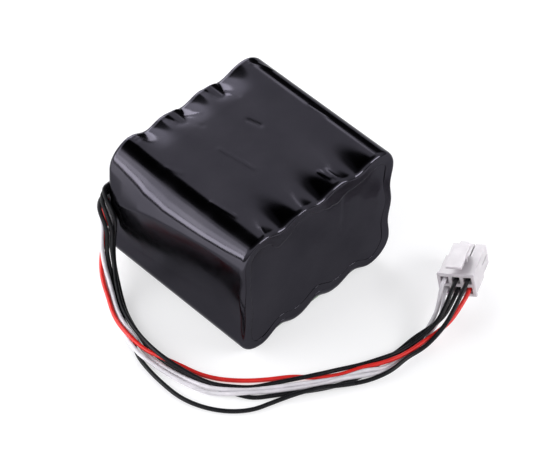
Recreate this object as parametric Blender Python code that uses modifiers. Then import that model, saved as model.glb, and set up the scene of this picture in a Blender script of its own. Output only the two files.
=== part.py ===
"""Rechargeable battery pack in black shrink film, with a six-wire lead and a white latching plug.

Frame: +X across the four cell columns, +Y along the cells towards the end where the leads come
out, +Z up. The origin is the centre of the pack's base. Sizes below are in millimetres.
"""
import math

import bpy
from mathutils import Matrix, Vector

MM = 0.001

# Cells: a standard 18 mm x 65 mm round cell, in columns and rows
COLUMNS = 4
ROWS = 3
CELL_RADIUS = 9.05
CELL_LENGTH = 65.0
CELL_PITCH = 18.3
CAP_RADIUS = 4.6
CAP_HEIGHT = 0.9
NECK_HEIGHT = 2.6
NECK_DEPTH = 0.7
NECK_SLOPE = 0.6
RING_WIDTH = 1.6  # the insulating ring round the cap
RING_SINK = 0.4
CAN_EDGE = 0.5

# Film and sheet thicknesses
GAP = 0.1
FILM = 0.25
NICKEL = 0.15
BOARD = 0.2
FILM_SLACK = 0.25
LIP = 3.4
BOARD_INSET = 3.4
NICKEL_WIDTH = 8.0

# Stack of sheets on each end of the cells: plate, board, end cover, sleeve lip
PLATE_OFFSET = GAP
BOARD_OFFSET = PLATE_OFFSET + NICKEL + GAP
COVER_OFFSET = BOARD_OFFSET + BOARD + GAP
LIP_OFFSET = COVER_OFFSET + FILM + GAP
END_STACK = LIP_OFFSET + FILM
BULGE_DEPTH = 2.7

# Pack envelope
PACK_WIDTH = COLUMNS * CELL_PITCH + 2 * (FILM_SLACK + FILM)
PACK_HEIGHT = ROWS * CELL_PITCH + 2 * (FILM_SLACK + FILM)
PACK_LENGTH = CELL_LENGTH + 2 * END_STACK + BULGE_DEPTH
CORNER_RADIUS = CELL_RADIUS + 0.1 + FILM_SLACK + FILM
NEAR_FACE = -PACK_LENGTH / 2
NEAR_CELL_END = NEAR_FACE + END_STACK
FAR_CELL_END = NEAR_CELL_END + CELL_LENGTH
FAR_FACE = FAR_CELL_END + END_STACK

# Protection board in the far cover
BOARD_LEFT = -26.0
BOARD_RIGHT = 22.0
BOARD_LOW = 21.0
BOARD_HIGH = 38.6
BOARD_THICKNESS = 0.8
BOARD_FACE = FAR_CELL_END + COVER_OFFSET + GAP + BOARD_THICKNESS
BULGE_LEFT = -33.4
BULGE_RIGHT = 26.0
BULGE_LOW = 15.5
BULGE_HIGH = 47.5
SLIT_LOW = 26.1
SLIT_HIGH = 37.6

# Leads
LEAD_RADIUS = 0.8
LEAD_STEP = 3.8
LEAD_PLANE = BOARD_FACE + 0.15 + LEAD_RADIUS
GROUND_GAP = 0.05
GROUND = LEAD_RADIUS + 0.1

# Plug: two rows of three ways
WAY_PITCH = 4.2
RIM_WIDTH = 13.8
RIM_HEIGHT = 9.6
RIM_LENGTH = 1.4
BODY_WIDTH = 13.1
BODY_HEIGHT = 9.0
BODY_LENGTH = 11.6
TOWER_SIDE = 3.7
PLUG_LENGTH = 19.6
WAY_SIDE = 2.9
PLUG_POSITION = (36.3, -68.2, 9.35)
PLUG_YAW = math.radians(26.8)
PLUG_DIP = math.radians(-9.0)
PLUG_ROLL = math.radians(14.0)
LATCH_PIVOT = (0.0, 7.6, 4.9)
LATCH_WIDTH = 5.4
LATCH_TOP = 8.4
LATCH_THICKNESS = 1.0


# ---- scene, collections and materials

for old in list(bpy.data.objects):
    bpy.data.objects.remove(old, do_unlink=True)

parts = bpy.data.collections.new("battery_pack")
cutters = bpy.data.collections.new("cutters")
bpy.context.scene.collection.children.link(parts)
bpy.context.scene.collection.children.link(cutters)
cutters.hide_render = True


def material(name, colour, roughness, metallic=0.0):
    made = bpy.data.materials.new(name)
    made.use_nodes = True
    shader = made.node_tree.nodes["Principled BSDF"]
    shader.inputs["Base Color"].default_value = (*colour, 1.0)
    shader.inputs["Roughness"].default_value = roughness
    shader.inputs["Metallic"].default_value = metallic
    return made


BLACK_FILM = material("black_film", (0.012, 0.012, 0.014), 0.22)
CELL_JACKET = material("cell_jacket", (0.05, 0.16, 0.42), 0.35)
NICKEL_SHEET = material("nickel_sheet", (0.72, 0.70, 0.66), 0.32, 1.0)
FISH_PAPER = material("insulating_paper", (0.30, 0.42, 0.30), 0.75)
CIRCUIT_BOARD = material("circuit_board", (0.02, 0.16, 0.06), 0.45)
CHIP_BLACK = material("chip_black", (0.02, 0.02, 0.022), 0.55)
CERAMIC = material("ceramic", (0.42, 0.33, 0.24), 0.5)
THERMISTOR_EPOXY = material("thermistor_epoxy", (0.015, 0.015, 0.015), 0.4)
RED_PVC = material("red_pvc", (0.72, 0.03, 0.02), 0.35)
BLACK_PVC = material("black_pvc", (0.015, 0.015, 0.016), 0.32)
WHITE_PVC = material("white_pvc", (0.80, 0.77, 0.80), 0.4)
NATURAL_NYLON = material("natural_nylon", (0.82, 0.79, 0.80), 0.38)
TINNED_BRASS = material("tinned_brass", (0.75, 0.72, 0.66), 0.3, 1.0)


# ---- shape helpers; arguments in millimetres, meshes in metres

def metres(*values):
    return Vector(values) * MM


def finish(obj, name, mat):
    obj.name = name
    obj.data.name = name
    obj.data.materials.clear()
    obj.data.materials.append(mat)
    for other in list(obj.users_collection):
        other.objects.unlink(obj)
    parts.objects.link(obj)
    return obj


def as_cutter(obj, name):
    obj.name = name
    for other in list(obj.users_collection):
        other.objects.unlink(obj)
    cutters.objects.link(obj)
    obj.hide_render = True
    obj.display_type = "WIRE"
    return obj


def box(low, high, edge=0.0):
    """A block between two corners, its edges rounded off by `edge`."""
    size = [h - l for l, h in zip(low, high)]
    centre = [(h + l) / 2 for l, h in zip(low, high)]
    bpy.ops.mesh.primitive_cube_add(size=1.0, location=metres(*centre))
    obj = bpy.context.object
    obj.scale = metres(*size)
    bpy.ops.object.transform_apply(location=False, rotation=False, scale=True)
    if edge:
        bevel = obj.modifiers.new("rounded", "BEVEL")
        bevel.width = edge * MM
        bevel.segments = 2
    return obj


def solid_mesh(obj):
    """Replaces an object by the plain mesh that its modifiers or its curve give."""
    bpy.context.view_layer.update()
    graph = bpy.context.evaluated_depsgraph_get()
    mesh = bpy.data.meshes.new_from_object(obj.evaluated_get(graph))
    made = bpy.data.objects.new(obj.name, mesh)
    made.matrix_world = obj.matrix_world
    parts.objects.link(made)
    bpy.data.objects.remove(obj, do_unlink=True)
    bpy.context.view_layer.objects.active = made
    weld = made.modifiers.new("weld", "WELD")
    weld.merge_threshold = 0.00001
    return made


def outline_points(width, height, radius, steps=6):
    """A rectangle about the origin with round corners, anticlockwise."""
    points = []
    for quarter in range(4):
        side_x = 1 if quarter in (0, 3) else -1
        side_y = 1 if quarter < 2 else -1
        for step in range(steps + 1):
            turn = math.radians(90 * (quarter + step / steps))
            points.append((
                side_x * (width / 2 - radius) + radius * math.cos(turn),
                side_y * (height / 2 - radius) + radius * math.sin(turn),
            ))
    return points


def extruded(points, thickness, name="outline"):
    """A flat outline in its own XY plane, thickened about that plane."""
    curve = bpy.data.curves.new(name, "CURVE")
    curve.dimensions = "2D"
    curve.fill_mode = "BOTH"
    curve.extrude = thickness / 2 * MM
    spline = curve.splines.new("POLY")
    spline.points.add(len(points) - 1)
    for point, (x, y) in zip(spline.points, points):
        point.co = (x * MM, y * MM, 0, 1)
    spline.use_cyclic_u = True
    obj = bpy.data.objects.new(name, curve)
    parts.objects.link(obj)
    return solid_mesh(obj)


def upright(obj, front, back, height):
    """Stands an extruded outline up, its plane facing along Y, between two Y positions."""
    obj.rotation_euler = (math.radians(90), 0, 0)
    obj.location = metres(0, (front + back) / 2, height)
    return obj


def pack_slab(front, back, inset):
    """A slab with the pack's rounded section, moved in all round by `inset`."""
    outline = outline_points(
        PACK_WIDTH - 2 * inset, PACK_HEIGHT - 2 * inset, CORNER_RADIUS - inset
    )
    return upright(extruded(outline, back - front), front, back, PACK_HEIGHT / 2)


def cut(obj, cutter):
    change = obj.modifiers.new("cut", "BOOLEAN")
    change.operation = "DIFFERENCE"
    change.object = as_cutter(cutter, obj.name + "_cutter")


def join(obj, other):
    change = obj.modifiers.new("join", "BOOLEAN")
    change.operation = "UNION"
    change.object = as_cutter(other, obj.name + "_joined")


def joined_boxes(boxes):
    """Several separate blocks in one object, for one Boolean."""
    made = [box(low, high) for low, high in boxes]
    bpy.ops.object.select_all(action="DESELECT")
    for obj in made:
        obj.select_set(True)
    bpy.context.view_layer.objects.active = made[0]
    bpy.ops.object.join()
    return made[0]


def turned(profile, steps=24):
    """A solid of revolution about Z, from (radius, height) pairs that run from top to bottom."""
    mesh = bpy.data.meshes.new("profile")
    rows = [metres(radius, 0, height) for radius, height in profile]
    mesh.from_pydata(rows, [(i, i + 1) for i in range(len(rows) - 1)], [])
    obj = bpy.data.objects.new("turned", mesh)
    parts.objects.link(obj)
    screw = obj.modifiers.new("turn", "SCREW")
    screw.steps = steps
    screw.render_steps = steps
    screw.use_merge_vertices = True
    screw.merge_threshold = 0.00001
    screw.use_smooth_shade = True
    return obj


def smooth_route(points, step):
    """Points about `step` apart on a Catmull-Rom curve through the given points."""
    ends = [2 * points[0] - points[1], *points, 2 * points[-1] - points[-2]]
    fine = []
    for before, start, end, after in zip(ends, ends[1:], ends[2:], ends[3:]):
        for tenth in range(10):
            t = tenth / 10
            fine.append(0.5 * (
                2 * start
                + (end - before) * t
                + (2 * before - 5 * start + 4 * end - after) * t ** 2
                + (3 * start - before - 3 * end + after) * t ** 3
            ))
    fine.append(points[-1])
    lengths = [0.0]
    for start, end in zip(fine, fine[1:]):
        lengths.append(lengths[-1] + (end - start).length)
    pieces = max(2, round(lengths[-1] / step))
    route = []
    place = 0
    for piece in range(pieces + 1):
        wanted = lengths[-1] * piece / pieces
        while place < len(fine) - 2 and lengths[place + 1] < wanted:
            place += 1
        share = (wanted - lengths[place]) / (lengths[place + 1] - lengths[place])
        route.append(fine[place].lerp(fine[place + 1], share))
    return route


def tube(name, points, radius, mat):
    """A wire through points that are already close together."""
    curve = bpy.data.curves.new(name, "CURVE")
    curve.dimensions = "3D"
    curve.bevel_depth = radius * MM
    curve.bevel_resolution = 2
    curve.use_fill_caps = True
    spline = curve.splines.new("POLY")
    spline.points.add(len(points) - 1)
    for spline_point, point in zip(spline.points, points):
        spline_point.co = (*(point * MM), 1)
    obj = bpy.data.objects.new(name, curve)
    parts.objects.link(obj)
    return finish(obj, name, mat)


# ---- the pack

def shrink_sleeve():
    far_lip = FAR_CELL_END + END_STACK
    sleeve = finish(pack_slab(NEAR_FACE, far_lip, 0), "shrink_sleeve", BLACK_FILM)
    cut(sleeve, pack_slab(NEAR_FACE + FILM, far_lip - FILM, FILM))
    cut(sleeve, pack_slab(NEAR_FACE - 1, far_lip + 1, LIP))


def near_end_cover():
    outer = NEAR_CELL_END - COVER_OFFSET - FILM
    finish(pack_slab(outer, outer + FILM, FILM + GAP), "near_end_cover", BLACK_FILM)


def far_end_cover():
    """A formed film cap: a flat flange under the sleeve's lip and a low box over the electronics."""
    flange = FAR_CELL_END + COVER_OFFSET
    top = FAR_FACE + BULGE_DEPTH
    cover = finish(pack_slab(flange, flange + FILM, FILM + GAP), "far_end_cover", BLACK_FILM)
    bulge = box((BULGE_LEFT, flange, BULGE_LOW), (BULGE_RIGHT, top, BULGE_HIGH))
    join(cover, bulge)
    inner_low = (BULGE_LEFT + FILM, flange - 1, BULGE_LOW + FILM)
    inner_high = (BULGE_RIGHT - FILM, top - FILM, BULGE_HIGH - FILM)
    cut(cover, box(inner_low, inner_high))
    slit_low = (BULGE_LEFT - 1, LEAD_PLANE - LEAD_RADIUS - 0.2, SLIT_LOW)
    slit_high = (BULGE_LEFT + 1, LEAD_PLANE + LEAD_RADIUS + 0.2, SLIT_HIGH)
    cut(cover, box(slit_low, slit_high))


def cell_centre(column, row):
    x = (column - (COLUMNS - 1) / 2) * CELL_PITCH
    z = PACK_HEIGHT / 2 + (row - (ROWS - 1) / 2) * CELL_PITCH
    return x, z


def cells():
    """Each column is three cells in parallel; neighbouring columns point opposite ways."""
    half = CELL_LENGTH / 2
    shoulder = half - CAP_HEIGHT
    neck = shoulder - NECK_HEIGHT
    profile = [
        (0, half),
        (CAP_RADIUS, half),
        (CAP_RADIUS, shoulder - RING_SINK),
        (CAP_RADIUS + RING_WIDTH, shoulder - RING_SINK),
        (CAP_RADIUS + RING_WIDTH + NECK_SLOPE, shoulder),
        (CELL_RADIUS, shoulder),
        (CELL_RADIUS, neck + NECK_SLOPE),
        (CELL_RADIUS - NECK_DEPTH, neck),
        (CELL_RADIUS, neck - NECK_SLOPE),
        (CELL_RADIUS, CAN_EDGE - half),
        (CELL_RADIUS - CAN_EDGE, -half),
        (0, -half),
    ]
    middle = (NEAR_CELL_END + FAR_CELL_END) / 2
    for column in range(COLUMNS):
        for row in range(ROWS):
            x, z = cell_centre(column, row)
            cell = turned(profile)
            finish(cell, f"cell_{column + 1}{row + 1}", CELL_JACKET)
            cell.location = metres(x, middle, z)
            cell.rotation_euler = (math.radians(90 if column % 2 else -90), 0, 0)


def nickel_plate(name, columns, near):
    """Strips down the chosen columns with a link at each row, and windows between them."""
    left = cell_centre(columns[0], 0)[0] - NICKEL_WIDTH / 2
    right = cell_centre(columns[-1], 0)[0] + NICKEL_WIDTH / 2
    low = cell_centre(0, 0)[1] - NICKEL_WIDTH / 2
    high = cell_centre(0, ROWS - 1)[1] + NICKEL_WIDTH / 2
    if near:
        back = NEAR_CELL_END - PLATE_OFFSET
        front = back - NICKEL
    else:
        front = FAR_CELL_END + PLATE_OFFSET
        back = front + NICKEL
    plate = finish(box((left, front, low), (right, back, high)), name, NICKEL_SHEET)
    windows = []
    for row in range(ROWS - 1):
        if len(columns) > 1:
            bottom = cell_centre(0, row)[1] + NICKEL_WIDTH / 2
            top = cell_centre(0, row + 1)[1] - NICKEL_WIDTH / 2
            inner_low = (left + NICKEL_WIDTH, front - 1, bottom)
            windows.append((inner_low, (right - NICKEL_WIDTH, back + 1, top)))
    if windows:
        cut(plate, joined_boxes(windows))
    return plate


# Solder tabs that stand up from the far plates beside the protection board: low corner, high corner
TAB_TOP = BOARD_FACE + 0.8
TABS = {
    "plate_minus": ((-26.35, 22.0), (-26.15, 25.5)),
    "plate_middle": ((-11.0, BOARD_HIGH + 0.15), (-7.0, BOARD_HIGH + 0.35)),
    "plate_plus": ((22.15, 26.0), (23.8, 26.2)),
}


def plates():
    nickel_plate("plate_near_1", (0, 1), True)
    nickel_plate("plate_near_2", (2, 3), True)
    far_plates = {
        "plate_minus": nickel_plate("plate_minus", (0,), False),
        "plate_middle": nickel_plate("plate_middle", (1, 2), False),
        "plate_plus": nickel_plate("plate_plus", (3,), False),
    }
    inner = FAR_CELL_END + PLATE_OFFSET
    for name, ((left, low), (right, high)) in TABS.items():
        join(far_plates[name], box((left, inner, low), (right, TAB_TOP, high)))


def insulating_boards():
    near = NEAR_CELL_END - BOARD_OFFSET - BOARD
    finish(pack_slab(near, near + BOARD, BOARD_INSET), "insulating_board_near", FISH_PAPER)
    far = FAR_CELL_END + BOARD_OFFSET
    board = finish(pack_slab(far, far + BOARD, BOARD_INSET), "insulating_board_far", FISH_PAPER)
    openings = [
        ((left - 0.3, far - 1, low - 0.3), (right + 0.3, far + 1, high + 0.3))
        for (left, low), (right, high) in TABS.values()
    ]
    for side in (-1, 1):
        x = side * CELL_PITCH
        z = PACK_HEIGHT / 2 - CELL_PITCH / 2
        openings.append(((x - 1.0, far - 1, z - 1.0), (x + 1.0, far + 1, z + 1.0)))
    cut(board, joined_boxes(openings))


def sense_wires():
    """Two thin wires in the channels between the cells, from the near plates to the board."""
    channel = PACK_HEIGHT / 2 - CELL_PITCH / 2
    start = NEAR_CELL_END - PLATE_OFFSET - NICKEL
    for name, side in (("sense_wire_1", -1), ("sense_wire_2", 1)):
        x = side * CELL_PITCH
        straight = [Vector((x, start + CELL_LENGTH * part / 4, channel)) for part in range(5)]
        edge = min(x, BOARD_RIGHT - 4)
        bend = [
            Vector((x, FAR_CELL_END + 0.9, channel)),
            Vector((edge, BOARD_FACE + 0.2, channel + 0.6)),
        ]
        tube(name, smooth_route(straight + bend, 6.0), 0.5, BLACK_PVC)


# On the protection board: left, bottom, width, height, thickness, material
MOSFET_PITCH = 7.0
COMPONENT_EDGE = 0.12
COMPONENTS = {
    f"mosfet_{number + 1}": (-6.5 + MOSFET_PITCH * number, 23.0, 4.9, 3.9, 1.4, CHIP_BLACK)
    for number in range(4)
}
COMPONENTS["protection_chip"] = (4.0, 29.5, 6.5, 4.5, 1.3, CHIP_BLACK)
COMPONENTS["shunt_resistor"] = (-6.5, 30.0, 6.4, 3.2, 0.7, CHIP_BLACK)
COMPONENTS["capacitor_1"] = (13.0, 30.0, 2.0, 3.2, 1.2, CERAMIC)
COMPONENTS["capacitor_2"] = (17.0, 30.0, 2.0, 3.2, 1.2, CERAMIC)


def protection_board():
    back = BOARD_FACE - BOARD_THICKNESS
    finish(
        box((BOARD_LEFT, back, BOARD_LOW), (BOARD_RIGHT, BOARD_FACE, BOARD_HIGH)),
        "protection_board",
        CIRCUIT_BOARD,
    )
    lying = BOARD_FACE + GAP
    for name, (left, low, width, height, thickness, mat) in COMPONENTS.items():
        corner = (left + width, lying + thickness, low + height)
        finish(box((left, lying, low), corner, COMPONENT_EDGE), name, mat)


def thermistor():
    """A drop of epoxy on the end of the two white leads, above the board."""
    profile = [
        (0.85 * math.sin(math.radians(angle)), 2.2 * math.cos(math.radians(angle)))
        for angle in range(0, 181, 30)
    ]
    profile[0] = (0, 2.2)
    profile[-1] = (0, -2.2)
    bead = finish(turned(profile, 12), "thermistor", THERMISTOR_EPOXY)
    bead.location = metres(-16.5, LEAD_PLANE, 29.0)
    bead.rotation_euler = (0, math.radians(90), 0)


# ---- the leads

# The bundle's middle line, from below the slit in the cover, down to the ground and along it
ROUTE = [
    (-40.7, 29.7, 24.4),
    (-41.5, 29.2, 18.6),
    (-42.9, 28.2, 12.8),
    (-45.0, 25.6, 8.0),
    (-47.8, 21.4, 4.4),
    (-50.8, 16.6, 2.1),
    (-53.8, 11.0, GROUND),
    (-56.0, 5.0, GROUND),
    (-57.4, -1.5, GROUND),
    (-58.0, -8.5, GROUND),
    (-57.8, -15.5, GROUND),
    (-57.0, -22.5, GROUND),
    (-55.2, -29.5, GROUND),
    (-52.6, -36.2, GROUND),
    (-49.0, -42.2, GROUND),
    (-44.4, -47.4, GROUND),
    (-38.6, -51.8, GROUND),
    (-31.8, -55.8, GROUND),
    (-24.6, -60.2, GROUND),
    (-17.6, -64.4, GROUND),
    (-10.4, -67.8, GROUND),
    (-3.0, -70.6, GROUND),
    (4.6, -72.2, GROUND),
    (12.0, -73.0, 1.5),
    (18.2, -73.9, 3.8),
    (24.4, -73.6, 7.0),
]

# The way "outwards" points across the bundle where it drops; after that it is level
DROP_ACROSS = [
    (-0.8, 0.6, 0),
    (-0.85, 0.52, 0),
]

# Each lead's place in the bundle at every point of ROUTE: millimetres outwards, millimetres up
LEADS = {
    "lead_white_1": [
        (1.8, -0.7), (2.1, 0.7), (1.5, 1.1), (1.1, 1.4), (0.35, 1.6),
        (0.0, 1.55), (0.0, 1.55), (0.2, 1.55), (0.2, 1.75), (1.0, 0),
        (1.4, 0), (1.15, 0), (1.5, 0.4), (2.2, 1.4), (1.45, 1.75),
        (0.15, 0.75), (-0.65, 0), (-0.1, 0), (0.25, 0), (0.75, 0.3),
        (1.45, 1.9), (1.85, 0.1), (0.4, 0), (-0.2, 0), (-2.8, -1.0),
        (-3.5, 0),
    ],
    "lead_white_2": [
        (-1.9, -0.9), (-0.9, -0.9), (-0.35, -0.8), (0.5, -0.9), (0.9, -0.2),
        (0.9, 0), (0.9, 0), (1.2, 0), (2.5, 0.9), (4.0, 1.9),
        (3.2, 0.35), (2.9, 0), (3.2, 0), (3.4, 0), (3.25, 1.75),
        (1.75, 1.4), (1.1, 0), (1.65, 0), (2.0, 0.3), (2.2, 1.6),
        (3.3, 1.6), (3.5, 0.4), (2.2, 0), (1.6, 0), (-1.0, -1.2),
        (-2.1, -2.2),
    ],
    "lead_black_3": [
        (1.1, 1.0), (0.1, 0.85), (-0.15, 0.85), (-0.6, 0.5), (-0.85, 0.1),
        (-0.85, 0), (-0.85, 0), (-0.6, 0), (0.75, 0), (3.9, 0),
        (5.8, 0), (7.4, 0), (9.3, 0), (9.9, 0), (9.6, 0),
        (8.2, 0), (5.5, 0), (4.8, 1.2), (4.4, 1.7), (4.6, 1.0),
        (5.2, 0.9), (4.9, 1.6), (3.0, 1.5), (3.3, 1.3), (3.1, 2.0),
        (3.1, 2.6),
    ],
    "lead_black_1": [
        (-0.75, 0.9), (-1.75, 0.85), (-1.95, 1.0), (-2.3, 1.2), (-2.0, 1.45),
        (-2.0, 1.55), (-2.0, 1.55), (-1.9, 1.6), (-1.6, 1.7), (-0.6, 2.9),
        (0.25, 3.6), (-0.2, 2.4), (0.0, 1.7), (0.5, 1.7), (-0.3, 1.4),
        (-1.55, 0.1), (-2.4, 0), (-1.9, 0.8), (-1.5, 1.75), (-2.6, 0.9),
        (-2.2, 0.9), (-1.35, 1.75), (-0.75, 1.4), (-0.4, 1.75), (-0.1, 2.3),
        (-0.35, 2.2),
    ],
    "lead_red": [
        (-0.1, -0.9), (0.9, -0.9), (1.4, -0.75), (2.25, -0.2), (2.4, 1.15),
        (1.8, 1.55), (1.8, 1.55), (1.9, 1.6), (1.95, 2.6), (1.3, 1.8),
        (-0.2, 1.8), (-1.95, 1.15), (-2.8, 0), (-3.4, 0), (-4.2, 0),
        (-4.6, 0), (-4.4, 0), (-3.7, 0), (-1.5, 0), (-1.0, 0),
        (-0.3, 1.6), (0.6, 1.7), (1.25, 1.6), (1.5, 1.7), (1.6, 0.7),
        (2.9, -0.2),
    ],
    "lead_black_2": [
        (-2.75, 0.7), (-2.9, -0.6), (-2.5, -0.75), (-2.5, -0.5), (-2.8, -0.1),
        (-3.0, 0), (-3.0, 0), (-2.75, 0), (-2.2, 0), (-1.0, 0),
        (-0.6, 0), (-0.55, 0), (-0.3, 0), (0.5, 0), (1.2, 0),
        (3.0, 0), (2.85, 0), (3.4, 0), (3.75, 0), (3.0, 0),
        (1.6, 0), (-1.2, 0), (-2.1, 0), (-2.2, 1.2), (-1.4, 1.0),
        (-0.4, -0.6),
    ],
}

# Where each lead enters the plug: way across (-1, 0, 1) and row (-1 lower, 1 upper)
WAYS = {
    "lead_white_1": (-1, 1),
    "lead_white_2": (-1, -1),
    "lead_black_1": (0, 1),
    "lead_black_2": (0, -1),
    "lead_black_3": (1, 1),
    "lead_red": (1, -1),
}

# Where each lead starts inside the cover, on the board or at the thermistor, and how it comes out
STARTS = {
    "lead_black_2": [
        (-20.0, LEAD_PLANE, 36.4), (-27.0, LEAD_PLANE, 36.4), (-34.6, LEAD_PLANE, 36.4),
        (-38.3, 33.6, 36.8), (-39.7, 31.8, 35.3), (-39.4, 29.3, 31.0), (-39.2, 28.0, 27.4),
    ],
    "lead_black_1": [
        (-20.0, LEAD_PLANE, 34.5), (-27.0, LEAD_PLANE, 34.55), (-34.6, LEAD_PLANE, 34.55),
        (-38.8, 33.7, 34.6), (-40.8, 32.0, 33.2), (-41.0, 29.9, 29.0),
    ],
    "lead_black_3": [
        (-20.0, LEAD_PLANE, 32.65), (-27.0, LEAD_PLANE, 32.7), (-34.6, LEAD_PLANE, 32.7),
        (-38.9, 33.8, 32.7), (-41.5, 33.0, 30.7), (-42.3, 31.1, 27.8),
    ],
    "lead_white_2": [
        (-18.9, LEAD_PLANE, 29.85), (-21.0, LEAD_PLANE, 30.0), (-24.5, LEAD_PLANE, 30.8),
        (-34.6, LEAD_PLANE, 30.9), (-38.2, 33.6, 30.9), (-39.2, 31.2, 29.0),
    ],
    "lead_red": [
        (-24.2, LEAD_PLANE, 29.0), (-27.0, LEAD_PLANE, 29.05), (-34.6, LEAD_PLANE, 29.05),
        (-38.7, 33.7, 28.9), (-40.1, 32.1, 27.5),
    ],
    "lead_white_1": [
        (-18.9, LEAD_PLANE, 28.15), (-21.0, LEAD_PLANE, 28.0), (-24.5, LEAD_PLANE, 27.25),
        (-34.6, LEAD_PLANE, 27.2), (-39.4, 33.9, 26.5), (-41.3, 33.3, 25.6),
    ],
}
LEAD_COLOURS = {"white": WHITE_PVC, "black": BLACK_PVC, "red": RED_PVC}


def plug_frame():
    """The plug's own axes in the pack's frame: X across the ways, Y towards its mate, Z up."""
    mate = Vector((
        math.cos(PLUG_DIP) * math.cos(PLUG_YAW),
        math.cos(PLUG_DIP) * math.sin(PLUG_YAW),
        math.sin(PLUG_DIP),
    ))
    level = Vector((math.sin(PLUG_YAW), -math.cos(PLUG_YAW), 0))
    raised = level.cross(mate)
    across = math.cos(PLUG_ROLL) * level + math.sin(PLUG_ROLL) * raised
    up = across.cross(mate)
    frame = Matrix((across, mate, up)).transposed().to_4x4()
    frame.translation = Vector(PLUG_POSITION)
    return frame


PLUG = plug_frame()
LEAD_END = 6.2


def bundle_point(station, outwards, up):
    """A lead's point, from its place across and above the bundle's middle line."""
    here = Vector(ROUTE[station])
    before = Vector(ROUTE[max(station - 1, 0)])
    after = Vector(ROUTE[min(station + 1, len(ROUTE) - 1)])
    along = (after - before).normalized()
    if station < len(DROP_ACROSS):
        across = Vector(DROP_ACROSS[station])
    else:
        across = along.cross(Vector((0, 0, 1)))
    across = (across - across.dot(along) * along).normalized()
    return here + outwards * across + up * across.cross(along)


def lead_route(name):
    points = [Vector(point) for point in STARTS[name]]
    for station, (outwards, up) in enumerate(LEADS[name]):
        points.append(bundle_point(station, outwards, up))
    way, row = WAYS[name]
    for depth in (-3.5, 0.5, LEAD_END):
        points.append(PLUG @ Vector((way * WAY_PITCH, depth, row * WAY_PITCH / 2)))
    return points


def leads():
    for name in LEADS:
        route = smooth_route(lead_route(name), LEAD_STEP)
        for point in route:
            point.z = max(point.z, LEAD_RADIUS + GROUND_GAP)
        tube(name, route, LEAD_RADIUS, LEAD_COLOURS[name.split("_")[1]])


# ---- the plug

def on_plug(obj, local=(0, 0, 0)):
    obj.matrix_world = Matrix.Scale(MM, 4) @ PLUG @ Matrix.Translation(local) @ Matrix.Scale(1 / MM, 4)


def plug_ways():
    return [(way * WAY_PITCH, row * WAY_PITCH / 2) for way in (-1, 0, 1) for row in (-1, 1)]


def plug_housing():
    rim = box(
        (-RIM_WIDTH / 2, 0, -RIM_HEIGHT / 2), (RIM_WIDTH / 2, RIM_LENGTH, RIM_HEIGHT / 2), 0.3
    )
    body = box(
        (-BODY_WIDTH / 2, 0.4, -BODY_HEIGHT / 2), (BODY_WIDTH / 2, BODY_LENGTH, BODY_HEIGHT / 2), 0.3
    )
    half = TOWER_SIDE / 2
    towers = joined_boxes([
        ((x - half, BODY_LENGTH - 2, z - half), (x + half, PLUG_LENGTH, z + half))
        for x, z in plug_ways()
    ])
    half = WAY_SIDE / 2
    holes = joined_boxes([
        ((x - half, -1, z - half), (x + half, PLUG_LENGTH + 1, z + half)) for x, z in plug_ways()
    ])
    for obj in (rim, body):
        obj.data.transform(Matrix.Translation(obj.location))
        obj.location = (0, 0, 0)
    for obj in (towers, holes):
        obj.data.transform(obj.matrix_world)
        obj.matrix_world = Matrix.Identity(4)
    body = solid_mesh(body)
    rim = solid_mesh(rim)
    for obj in (body, rim, towers, holes):
        on_plug(obj)
    housing = finish(body, "plug_housing", NATURAL_NYLON)
    join(housing, rim)
    join(housing, towers)
    cut(housing, holes)


def plug_latch():
    """The lever on top: a thumb pad at the lead end, two legs in the middle, a hook at the front."""
    half = LATCH_WIDTH / 2
    outline = [
        (-half - 0.2, -8.0), (half + 0.2, -8.0), (half + 0.2, -3.2), (half, -2.4), (half, 5.0),
        (1.6, 6.0), (1.4, 7.4), (-1.4, 7.4), (-1.6, 6.0), (-half, 5.0), (-half, -2.4),
        (-half - 0.2, -3.2),
    ]
    lever = extruded(outline, LATCH_THICKNESS, "lever")
    middle = LATCH_TOP - LATCH_THICKNESS / 2 - LATCH_PIVOT[2]
    lever.data.transform(Matrix.Translation(metres(0, 0, middle)))
    foot = BODY_HEIGHT / 2 + 0.3 - LATCH_PIVOT[2]
    extras = [
        ((-half + 0.1, -0.6, foot), (-half + 1.5, 0.6, middle)),
        ((half - 1.5, -0.6, foot), (half - 0.1, 0.6, middle)),
    ]
    legs = joined_boxes(extras)
    legs.data.transform(legs.matrix_world)
    hook = box((-1.5, 5.6, middle - 1.3), (1.5, 7.3, middle))
    hook.data.transform(hook.matrix_world)
    for obj in (lever, legs, hook):
        on_plug(obj, LATCH_PIVOT)
    latch = finish(lever, "plug_latch", NATURAL_NYLON)
    join(latch, legs)
    join(latch, hook)


def plug_terminals():
    """A socket contact in each way: a square box for the pin and a crimp barrel behind it."""
    side = 1.15
    for number, (x, z) in enumerate(plug_ways()):
        contact = box((-side, 10.2, -side), (side, 18.4, side))
        contact.data.transform(contact.matrix_world)
        barrel = box((-0.8, 6.6, -0.8), (0.8, 10.6, 0.8), 0.3)
        barrel.data.transform(Matrix.Translation(barrel.location))
        barrel.location = (0, 0, 0)
        barrel = solid_mesh(barrel)
        mouth = box((-0.75, 11.5, -0.75), (0.75, 20.0, 0.75))
        mouth.data.transform(mouth.matrix_world)
        for obj in (contact, barrel, mouth):
            on_plug(obj, (x, 0, z))
        terminal = finish(contact, f"terminal_{number + 1}", TINNED_BRASS)
        join(terminal, barrel)
        cut(terminal, mouth)


shrink_sleeve()
near_end_cover()
far_end_cover()
cells()
plates()
insulating_boards()
sense_wires()
protection_board()
thermistor()
leads()
plug_housing()
plug_latch()
plug_terminals()
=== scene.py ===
"""Looks for the battery pack: black shrink film over round cells, six leads and a white plug.

Lengths are in millimetres up to the point where they reach Blender, which works in metres.
"""
import math

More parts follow.
